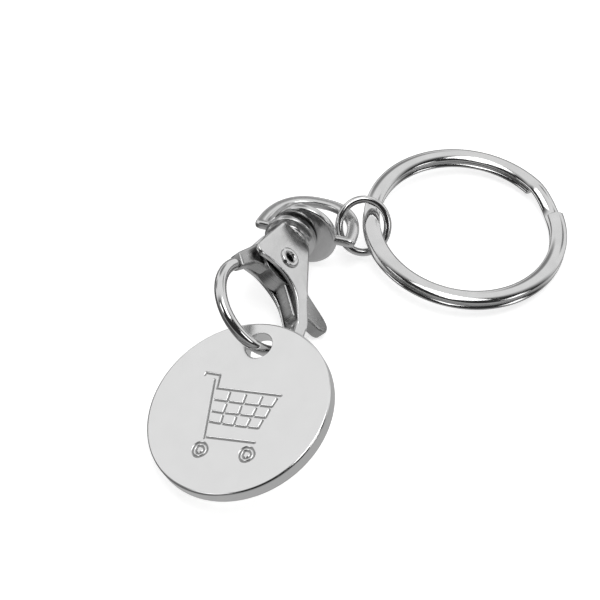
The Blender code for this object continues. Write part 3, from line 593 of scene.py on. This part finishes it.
def label_skin():
    """The same family of circles, from the hole's rim to the recess wall: dome = 1 - (2s - 1)^8."""
    share = 0.5 - 0.5 * np.cos(np.linspace(0.0, np.pi, 40))
    inner, outer = HOLE_RADIUS + HOLE_RIM + LABEL_GAP, COIN_RADIUS - RIM_WIDTH - LABEL_GAP
    top = -COIN_HALF + RECESS_DEPTH - LABEL_GAP
    dome = top - LABEL_EDGE - LABEL_DOME * (1.0 - (2.0 * share - 1.0) ** 8)
    low = np.stack([-HOLE_OFFSET * share, inner + (outer - inner) * share, dome], 1)
    high = low[[-1, 0]] * [1.0, 1.0, 0.0] + [0.0, 0.0, top]
    return circles(np.concatenate([low, high]), np.linspace(0.0, 2 * np.pi, 120, endpoint=False))


make_piece("token_label", label_skin(), coin_place, "token", "coin_label", label_finish())

# %% [markdown]
# ## The hook
# The hook is one zinc casting. Two cheeks hold the lever between them and run out into two thin rails,
# which meet in the round loop. On the other side a collar, a stem and a head carry the swivel eye. Here
# each form is a surface of its own, and they run into each other as they do in the casting.

# %% The cheeks and the rails
LOOP_CENTRE, LOOP_RADIUS, WIRE_RADIUS = (8.6, -0.2), 6.05, 0.75
CHEEK_TOP, CHEEK_FLOOR, TAPER_FROM = 2.1, 1.4, 2.45
RAIL_TIP_X, SLOT_END_X = 10.2, 7.0
BORE_RADIUS, WALL_BACK_X, WALL_FRONT_X = 1.1, -4.92, -4.55


def cheek_outline():
    """The side view: the cheek's corners, and two arcs of the loop's circle for the rail."""
    inside = arc(LOOP_CENTRE, LOOP_RADIUS - 0.8, 112.0, 84.0, 10)
    outside = arc(LOOP_CENTRE, LOOP_RADIUS + 0.8, 84.0, 112.0, 10)
    below = [(-4.9, -2.65), (2.30, -4.70), (2.99, -3.68), (2.40, -1.32), (2.89, 1.18), (4.02, 3.19)]
    above = [(3.09, 4.51), (-4.9, 1.96)]
    corners = np.vstack([below, inside, outside, above])
    size = np.full(len(corners), 0.6)
    size[[3, 4, 5, -2]] = 1.6
    size[-1] = 1.1
    return even(soften(corners, size), 0.12)


def sliced(surface, stations):
    """Cut the two flat faces of a plate along x, so that they can follow the taper: bisect, whole mesh."""
    points, faces, _ = surface
    work = bmesh.new()
    corners = [work.verts.new(point) for point in points.tolist()]
    for face in faces:
        work.faces.new([corners[k] for k in face])
    for station in stations:
        everything = work.verts[:] + work.edges[:] + work.faces[:]
        bmesh.ops.bisect_plane(work, geom=everything, plane_co=(station, 0.0, 0.0), plane_no=(1.0, 0.0, 0.0))
    work.verts.index_update()
    made = np.array([vertex.co for vertex in work.verts])
    joined = [[vertex.index for vertex in face.verts] for face in work.faces]
    work.free()
    return made, joined, made.copy()


def bore_tool(radius, low, high):
    """A round cutter along Z."""
    profile = np.array([[0.0, low], [radius, low], [radius, high], [0.0, high]])
    points, faces, _ = turned(profile)
    return points, faces, hook_place


# %% [markdown]
# The flat faces of a plate are single polygons. Along the rails they slope down, so they are first cut
# across at a row of stations, and each strip then lies flat on the slope. The bore for the rivet goes
# through both cheeks.

# %% Both cheeks, the back wall and the loop
flat_cheek = plate(cheek_outline(), 0.0, 1.0, 0.34)
STATIONS = np.arange(TAPER_FROM, 9.0, 0.35)


def tapered_cheek(sign):
    """A cut plate with its heights brought down along the rails, and mirrored for the lower cheek."""
    points, faces, straight = sliced((flat_cheek[0], flat_cheek[1], None), STATIONS)
    x, share = points[:, 0], points[:, 2].copy()
    over = np.maximum(x - TAPER_FROM, 0.0)
    over = over ** 2 / (over + 0.6)
    top = CHEEK_TOP - (CHEEK_TOP - WIRE_RADIUS) * over / (RAIL_TIP_X - TAPER_FROM)
    floor = CHEEK_FLOOR - 0.3 * over / (SLOT_END_X - TAPER_FROM)
    floor = floor * np.clip((SLOT_END_X + 0.3 - x) / 0.3, -0.04, 1.0)
    thickness = top - floor
    points[:, 2] = sign * (floor + share * thickness)
    return points, faces, straight


make_piece("hook_cheek_upper", tapered_cheek(1.0), hook_place, "hook", "hook_body", cast_nickel,
           [bore_tool(BORE_RADIUS, 0.5, 4.0)])
make_piece("hook_cheek_lower", tapered_cheek(-1.0), hook_place, "hook", "hook_body", cast_nickel,
           [bore_tool(BORE_RADIUS, -4.0, -0.5)])


def back_wall():
    """A plate across the hook: its outline lies in Y and Z, and its thickness runs along X."""
    corners = [(-2.62, -2.08), (1.93, -2.08), (1.93, 2.08), (-2.62, 2.08)]
    points, faces, straight = plate(even(soften(corners, 0.35), 0.1), WALL_BACK_X, WALL_FRONT_X, 0.15)
    return points[:, [2, 0, 1]], faces, straight


make_piece("hook_back_wall", back_wall(), hook_place, "hook", "hook_body", cast_nickel)


def loop_path():
    """The loop: an arc in the hook's middle plane, from inside the rails to the nose."""
    flat = arc(LOOP_CENTRE, LOOP_RADIUS, 98.0, -118.0, 160)
    return np.column_stack([flat, np.zeros(len(flat))])


make_piece("hook_loop", carried(loop_path(), round_section(WIRE_RADIUS), np.array([0.0, 0.0, 1.0]),
                                end_round=0.18), hook_place, "hook", "hook_body", wire_nickel)

# %% [markdown]
# The collar, stem and head are round about the hook's long axis. Their profile is drawn with sharp
# corners, softened, and turned. Turning is done about Z, so the points are then laid along X.


# %% The turned end of the hook
def along_x(surface):
    """Lay a turned surface along X: height becomes x, and the circle lies in Y and Z."""
    points, faces, straight = surface
    return points[:, [2, 0, 1]], faces, straight


def softened_line(corners, size, steps=6):
    """Soften an open profile: its two end points stay as they are."""
    return np.vstack([corners[:1], soften(corners, size, steps)[steps:-steps], corners[-1:]])


STEM_PROFILE = np.array([(0.0, -4.6), (2.1, -4.6), (2.3, -4.9), (2.3, -5.4), (3.3, -5.4), (3.3, -6.34),
                         (0.95, -6.34), (0.95, -8.14), (2.9, -8.14), (2.9, -9.7), (1.6, -9.94), (0.0, -9.94)])
make_piece("hook_stem", along_x(turned(softened_line(STEM_PROFILE, 0.22))), hook_place, "hook", "hook_body",
           cast_nickel)

# %% [markdown]
# ## The rivet
# A tubular rivet: one end is a low dome, and the other was rolled open by a setting tool, so that it
# shows a bright ring round a dark bore.

# %% The tubular rivet
RIVET_PROFILE = np.array([(0.0, -1.6), (0.58, -1.6), (0.58, 2.14), (0.76, 2.42), (1.12, 2.46), (1.36, 2.32),
                          (1.40, 2.1), (0.9, 2.1), (0.9, -2.1), (1.40, -2.1), (1.38, -2.32), (1.1, -2.52),
                          (0.6, -2.6), (0.0, -2.6)])
make_piece("rivet_set", turned(softened_line(RIVET_PROFILE, 0.12)), hook_place, "hook", "rivet", rivet_nickel)

# %% [markdown]
# ## The lever
# The lever is a second casting, 1.8 mm thick: an arm that closes the hook, a round hub on the rivet, and
# a tab for the thumb. The hub is thicker and hollow on one side, with the spring inside. The spring's leg
# stays with the hook, so the lever has a slot over it, as wide as the lever swings.

# %% The lever's outline
GATE_REACH, TAB_REACH, LEVER_HALF = 7.5, 10.2, 0.9
HUB_RADIUS, HUB_HALF, POCKET_RADIUS, POCKET_FLOOR = 3.3, 1.15, 1.8, -0.5
LEG_ROOM_FROM, LEG_ROOM_TO, LEG_ROOM_FLOOR, LEG_ROOM_TOP = 125.0, 200.0, 0.5, 2.0
TAB_SHARES = np.array([(0.61, 0.41), (0.62, 0.50), (0.49, 0.59), (0.47, 0.70), (0.47, 0.84), (0.43, 0.91),
                       (0.37, 0.925), (0.30, 0.90), (0.24, 0.81), (0.18, 0.66), (0.11, 0.49)])


def lever_outline():
    """The gate's tip on a circle about the rivet, inner side, hub, tab, hub again and outer side."""
    tip = arc((0.0, 0.0), GATE_REACH, -53.5, -38.5, 8)
    inner = np.array([(0.48, -0.44)]) * GATE_REACH
    right = arc((0.0, 0.0), HUB_RADIUS - 0.15, -25.0, 25.0, 8)
    left = arc((0.0, 0.0), HUB_RADIUS - 0.15, 105.0, 220.0, 16)
    outer = np.array([(-0.05, -0.50), (0.25, -0.64)]) * GATE_REACH
    return even(soften(np.vstack([tip, inner, right, TAB_SHARES * TAB_REACH, left, outer]), 0.45), 0.12)


def leg_room():
    """A wedge over the spring's leg: the rivet's axis and an arc about it, at a low and a high height."""
    wedge = np.vstack([[(0.0, 0.0)], arc((0.0, 0.0), 2.0 * HUB_RADIUS, LEG_ROOM_FROM, LEG_ROOM_TO, 16)])
    rows = np.stack([np.column_stack([wedge, np.full(len(wedge), height)])
                     for height in (LEG_ROOM_FLOOR, LEG_ROOM_TOP)])
    points, faces = quads_of(rows)
    count = len(wedge)
    return points, faces + [tuple(range(count)), tuple(range(count, 2 * count))], hook_place


make_piece("lever_arm", plate(lever_outline(), -LEVER_HALF, LEVER_HALF, 0.3), hook_place, "gate_lever",
           "trigger", lever_nickel_with_painted_shade,
           [bore_tool(POCKET_RADIUS, POCKET_FLOOR, 2.0), bore_tool(BORE_RADIUS, -2.0, 0.0), leg_room()])

HUB_PROFILE = np.array([(BORE_RADIUS, -HUB_HALF), (HUB_RADIUS, -HUB_HALF), (HUB_RADIUS, HUB_HALF),
                        (POCKET_RADIUS, HUB_HALF), (POCKET_RADIUS, POCKET_FLOOR),
                        (BORE_RADIUS, POCKET_FLOOR)])
make_piece("lever_hub", turned(soften(HUB_PROFILE, 0.14), ring=True), hook_place, "gate_lever", "trigger",
           lever_nickel_with_painted_shade, [leg_room()])

# %% [markdown]
# The spring in the hub is nearly hidden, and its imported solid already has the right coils. It keeps that
# shape and gets the finish of spring steel: the frame's objects may have new materials, but no new mesh.

# %% The spring's finish
spring = frame["nodes"]["trigger_spring"]
for slot in spring.material_slots:
    slot.material = spring_steel
print("spring keeps its packed shape, with", len(spring.material_slots), "material")

# %% [markdown]
# ## The swivel eye
# The eye is a casting too: a round hub that closes about the stem, and a bow behind it. The stem doesn't
# pass through the hub's middle, so its bore is to one side. The bow's outer edge is a superellipse,
# rounder than a box and squarer than a circle. Its section is a rounded bar between the
# outer line and an inner one, and the bar closes on itself through the straight front.

# %% The bow and the hub
BOW_HALF, BOW_DEPTH, BOW_POWER = 6.7, 8.0, 2.4
BAR_WIDTH, BAR_HALF, EYE_FRONT_X, EYE_BACK_X = 1.5, 0.6, -6.64, -7.84
BAR_FRONT_X, BAR_BACK_X = EYE_FRONT_X - 0.1, EYE_BACK_X + 0.1
HUB_OUTER, BORE_OFFSET, EYE_BORE, HUB_SLACK = 4.3, -1.5, 1.2, 0.06


def bow_line(inset, angle):
    """Superellipse behind the hub: x = front - depth sine^(2/p), y = half width cosine^(2/p)."""
    cosine, sine = np.cos(angle), np.sin(angle)
    across = np.sign(cosine) * np.abs(cosine) ** (2.0 / BOW_POWER)
    back = np.abs(sine) ** (2.0 / BOW_POWER)
    return np.stack([BAR_FRONT_X - (BOW_DEPTH - inset) * back, (BOW_HALF - inset) * across], axis=1)


def box_section(power=4.0, steps=32):
    """Unit section of a rounded bar: a superellipse of a high power."""
    angle = np.linspace(0.0, 2 * np.pi, steps, endpoint=False)
    return np.stack([np.sign(np.cos(angle)) * np.abs(np.cos(angle)) ** (2.0 / power),
                     np.sign(np.sin(angle)) * np.abs(np.sin(angle)) ** (2.0 / power)], axis=1)


def bow_skin():
    """point = middle of outer and inner line + half their difference * u + bar height * v."""
    angle = np.linspace(0.0, np.pi, 120)
    outer, inner = bow_line(0.0, angle), bow_line(BAR_WIDTH, angle)
    inner[:, 0] = np.minimum(inner[:, 0], BAR_BACK_X)
    across = np.linspace(-1.0, 1.0, 42)[1:-1]
    front = np.stack([np.full(40, BAR_FRONT_X), across * BOW_HALF], axis=1)
    behind = np.stack([np.full(40, BAR_BACK_X), across * (BOW_HALF - BAR_WIDTH)], axis=1)
    outer, inner = np.vstack([outer, front]), np.vstack([inner, behind])
    blur = np.array([1.0, 2.0, 3.0, 2.0, 1.0]) / 9.0
    for line in (outer, inner):
        line[:] = sum(weight * np.roll(line, shift, 0) for weight, shift in zip(blur, range(-2, 3)))
    middle, half = (outer + inner) / 2, (outer - inner) / 2
    u, v = box_section(2.7).T
    flat = middle[:, None] + half[:, None] * u[None, :, None]
    height = np.broadcast_to((BAR_HALF * v)[None, :, None], flat.shape[:2] + (1,))
    points = np.concatenate([flat, height], axis=2)
    return quads_of(points, round_rows=True) + (points.reshape(-1, 3).copy(),)


def stem_room():
    """A round cutter along X about the stem, a little wider than the hub's bore, so the cut stays hidden."""
    radius, low, high = EYE_BORE + 0.03, EYE_BACK_X - 0.5, EYE_FRONT_X + 0.5
    points, faces, _ = along_x(turned(np.array([(0.0, low), (radius, low), (radius, high), (0.0, high)])))
    return points + [0.0, BORE_OFFSET, 0.0], faces, eye_place


make_piece("eye_bow", bow_skin(), eye_place, "swivel", "swivel_eye", cast_nickel,
           [stem_room()])

hub_front, hub_back = EYE_FRONT_X - HUB_SLACK, EYE_BACK_X + HUB_SLACK
hub_rows = soften([(BORE_OFFSET, EYE_BORE, hub_front), (0.0, HUB_OUTER, hub_front),
                   (0.0, HUB_OUTER, hub_back), (BORE_OFFSET, EYE_BORE, hub_back)], 0.4)
hub_points, hub_faces, hub_straight = circles(hub_rows, np.linspace(0.0, 2 * np.pi, 120, endpoint=False))
make_piece("eye_hub", (hub_points[:, [2, 1, 0]], hub_faces, hub_straight), eye_place, "swivel", "swivel_eye",
           cast_nickel)

# %% [markdown]
# ## The link
# A closed oval of 1 mm wire. It is a circle carried along an ellipse.

# %% The wire link
LINK_HALF_WIDTH, LINK_HALF_LENGTH, LINK_HANG = 3.15, 3.4, 0.4
LINK_CENTRE_X = 5.3 / 2 - 0.35 - 0.75


def link_path():
    """An ellipse in the link's own plane: (a cosine, b sine)."""
    angle = np.linspace(0.0, 2 * np.pi, 140, endpoint=False)
    return np.stack([LINK_CENTRE_X + LINK_HALF_WIDTH * np.cos(angle),
                     LINK_HALF_LENGTH * np.sin(angle) - LINK_HANG, 0 * angle], axis=1)


make_piece("wire_link", carried(link_path(), round_section(0.5), np.array([0.0, 0.0, 1.0]), closed=True),
           link_place, "link", "link", wire_nickel)

# %% [markdown]
# ## The split ring
# One strip, wound twice. Its section is a low dome above and below, which draws each reflection out into
# long stripes, as on round wire. It lies level for a turn, climbs one strip's height where the ends are,
# and lies level again, so the two ends face away from each other across the climb.

# %% The split ring's strip
RING_RADIUS, STRIP_HALF_WIDTH, STRIP_HALF_HEIGHT, STRIP_SIDE = 12.15, 1.05, 0.5, 0.1
CLIMB_FROM, CLIMB_TO, STRIP_GAP = 8.0, 36.0, 0.12


def strip_path():
    """Angle runs almost two turns; the height is a smooth step s^2 (3 - 2s) over the climb."""
    climb = (CLIMB_TO - CLIMB_FROM) / 360.0
    turns = np.linspace(0.0, 2.0 - climb, 640)
    angle = np.radians(CLIMB_TO) + 2 * np.pi * turns
    share = np.clip((turns - (1.0 - climb)) / climb, 0.0, 1.0)
    step = 2 * STRIP_HALF_HEIGHT + STRIP_GAP
    height = step * share ** 2 * (3.0 - 2.0 * share) - step / 2
    return np.stack([RING_RADIUS + RING_RADIUS * np.cos(angle), RING_RADIUS * np.sin(angle), height], axis=1)


def domed_section():
    """Two arcs of a circle of radius (w^2 + h^2) / 2h over low sides, where h is the rise of the dome."""
    rise = STRIP_HALF_HEIGHT - STRIP_SIDE
    radius = (STRIP_HALF_WIDTH ** 2 + rise ** 2) / (2.0 * rise)
    reach = math.degrees(math.asin(STRIP_HALF_WIDTH / radius))
    dome = arc((0.0, STRIP_HALF_HEIGHT - radius), radius, 90.0 - reach, 90.0 + reach, 10)
    return soften(np.vstack([dome, -dome]), 0.1, 3)


strip = carried(strip_path(), domed_section(), np.array([0.0, 0.0, 1.0]), end_round=0.15)
make_piece("split_ring_strip", strip, ring_place, "ring", "split_ring", wire_nickel)

# %% [markdown]
# ## Floor, light and camera
# The photograph was taken on white. The floor is matt white paper that also gives a little light of its
# own, as when it is lit from beneath, so the shadows stay faint. The metal doesn't mirror the paper: what
# it mirrors is the tent of the next cells, so the two can be set apart from each other.

# %% The white floor
floor_mesh = bpy.data.meshes.new("floor")
floor_corners = [(-2.0, -2.0, 0.0), (2.0, -2.0, 0.0), (2.0, 2.0, 0.0), (-2.0, 2.0, 0.0)]
floor_mesh.from_pydata(floor_corners, [], [(0, 1, 2, 3)])
floor = bpy.data.objects.new("floor", floor_mesh)
bpy.context.scene.collection.objects.link(floor)
paper, paper_tree, paper_shader = new_finish("white_paper_sweep")
grain = add_node(paper_tree, "ShaderNodeTexNoise", {"Scale": 900.0, "Detail": 3.0})
paper_place = add_node(paper_tree, "ShaderNodeTexCoord")
paper_tree.links.new(paper_place.outputs["Object"], grain.inputs["Vector"])
paper_tone = add_node(paper_tree, "ShaderNodeMix", {"Factor": grain.outputs["Fac"], "A": colour("#FAFAFA"),
                                                    "B": colour("#F6F6F6")}, data_type="RGBA")
paper_tree.links.new(paper_tone.outputs["Result"], paper_shader.inputs["Base Color"])
paper_shader.inputs["Roughness"].default_value = 0.9
paper_shader.inputs["Specular IOR Level"].default_value = 0.0
paper_shader.inputs["Emission Color"].default_value = (1.0, 1.0, 1.0, 1.0)
paper_shader.inputs["Emission Strength"].default_value = 0.62
floor_mesh.materials.append(paper)
floor.visible_glossy = False

# %% [markdown]
# A light tent is soft and white, with an opening for the camera. Here it is worked out from the direction
# of each ray: bright behind the keyring, and dark in front where the camera looks in, but for a low pale
# sweep. Three small dark places break up the bright part, because metal with nothing dark in it looks
# like plastic. Below the horizon there is a dim table, darker to the left and darkest near the horizon.

# %% The tent all round
world = bpy.data.worlds.new("light_tent")
bpy.context.scene.world = world
world.use_nodes = True
tent = world.node_tree
tent.nodes.clear()
BACK_LIGHT, FRONT_LIGHT, SWEEP_LIGHT, TABLE_LIGHT = 0.90, 0.03, 0.38, 0.46


def ramp(value, from_low, from_high, to_low, to_high):
    """A smooth step of a value, from one range to another."""
    made = add_node(tent, "ShaderNodeMapRange", {"Value": value, "From Min": from_low, "From Max": from_high,
                                                 "To Min": to_low, "To Max": to_high},
                    interpolation_type="SMOOTHSTEP")
    return made.outputs["Result"]


def dark_place(direction, inside, outside, share_left):
    """Light that is left near a direction: a smooth step on the cosine of the angle to it."""
    toward = add_node(tent, "ShaderNodeVectorMath", {0: tent_way.outputs["Generated"],
                                                     1: tuple(unit(np.array(direction, float)))},
                      operation="DOT_PRODUCT")
    return ramp(toward.outputs["Value"], math.cos(math.radians(outside)), math.cos(math.radians(inside)), 1.0,
                share_left)


tent_way = add_node(tent, "ShaderNodeTexCoord")
way = add_node(tent, "ShaderNodeSeparateXYZ", {"Vector": tent_way.outputs["Generated"]})
front = ramp(way.outputs["Z"], 0.18, 0.32, SWEEP_LIGHT, FRONT_LIGHT)
above = ramp(way.outputs["Y"], -0.10, 0.30, front, BACK_LIGHT)
for direction, inside, outside, share_left in (((-0.15, 0.90, 0.38), 8.0, 20.0, 0.30),
                                               ((-0.75, 0.58, 0.30), 5.0, 13.0, 0.15),
                                               ((0.62, 0.62, 0.52), 3.0, 9.0, 0.25)):
    place_light = dark_place(direction, inside, outside, share_left)
    dimmed = add_node(tent, "ShaderNodeMath", {0: above, 1: place_light}, operation="MULTIPLY")
    above = dimmed.outputs["Value"]
table = ramp(way.outputs["X"], -0.72, -0.36, 0.25 * TABLE_LIGHT, TABLE_LIGHT)
near = ramp(way.outputs["Z"], -0.30, -0.02, 1.0, 0.3)
below = add_node(tent, "ShaderNodeMath", {0: table, 1: near}, operation="MULTIPLY").outputs["Value"]
horizon = ramp(way.outputs["Z"], -0.03, 0.03, 0.0, 1.0)
power = add_node(tent, "ShaderNodeMix", {"Factor": horizon, "A": below, "B": above}, data_type="FLOAT")
sky = add_node(tent, "ShaderNodeBackground", {"Color": (1.0, 1.0, 1.0, 1.0),
                                              "Strength": power.outputs["Result"]})
add_node(tent, "ShaderNodeOutputWorld", {"Surface": sky.outputs["Background"]})

# %% [markdown]
# Three softboxes add what a tent alone lacks, a direction: a wide one above, and two small weak ones at
# the sides, which draw short bright lines on wires and edges.


# %% Three softboxes
def softbox(name, place, size, watts):
    """A square area light that looks at the middle of the keyring."""
    data = bpy.data.lights.new(name, "AREA")
    data.size, data.energy = size, watts
    lamp = bpy.data.objects.new(name, data)
    lamp.location = place
    lamp.rotation_euler = (-Vector(place)).to_track_quat("-Z", "Y").to_euler()
    bpy.context.scene.collection.objects.link(lamp)


softbox("softbox_top", (0.04, -0.06, 0.55), 0.30, 0.75)
softbox("softbox_left", (-0.40, -0.12, 0.30), 0.16, 0.16)
softbox("softbox_right", (0.38, -0.18, 0.30), 0.16, 0.16)

# %% [markdown]
# The token's ellipse in the photograph gives the camera: it looks down by 51 degrees from 251 mm away,
# with a long lens. The distance is measured from the rivet, so the camera stays right if the keyring's
# origin moves.

# %% Camera
FOCAL_LENGTH, SENSOR_WIDTH, CAMERA_TILT = 121.1, 36.0, 38.89
CAMERA_FROM_RIVET = (2.71, -161.17, 192.98)

lens = bpy.data.cameras.new("camera")
lens.lens, lens.sensor_width = FOCAL_LENGTH, SENSOR_WIDTH
lens.clip_start, lens.clip_end = 0.01, 10.0
camera = bpy.data.objects.new("camera", lens)
camera.location = Vector(hook_place[0]) + Vector(CAMERA_FROM_RIVET) * MM
camera.rotation_euler = (math.radians(CAMERA_TILT), 0.0, 0.0)
bpy.context.scene.collection.objects.link(camera)
bpy.context.scene.camera = camera
bpy.context.scene.view_settings.view_transform = "Standard"
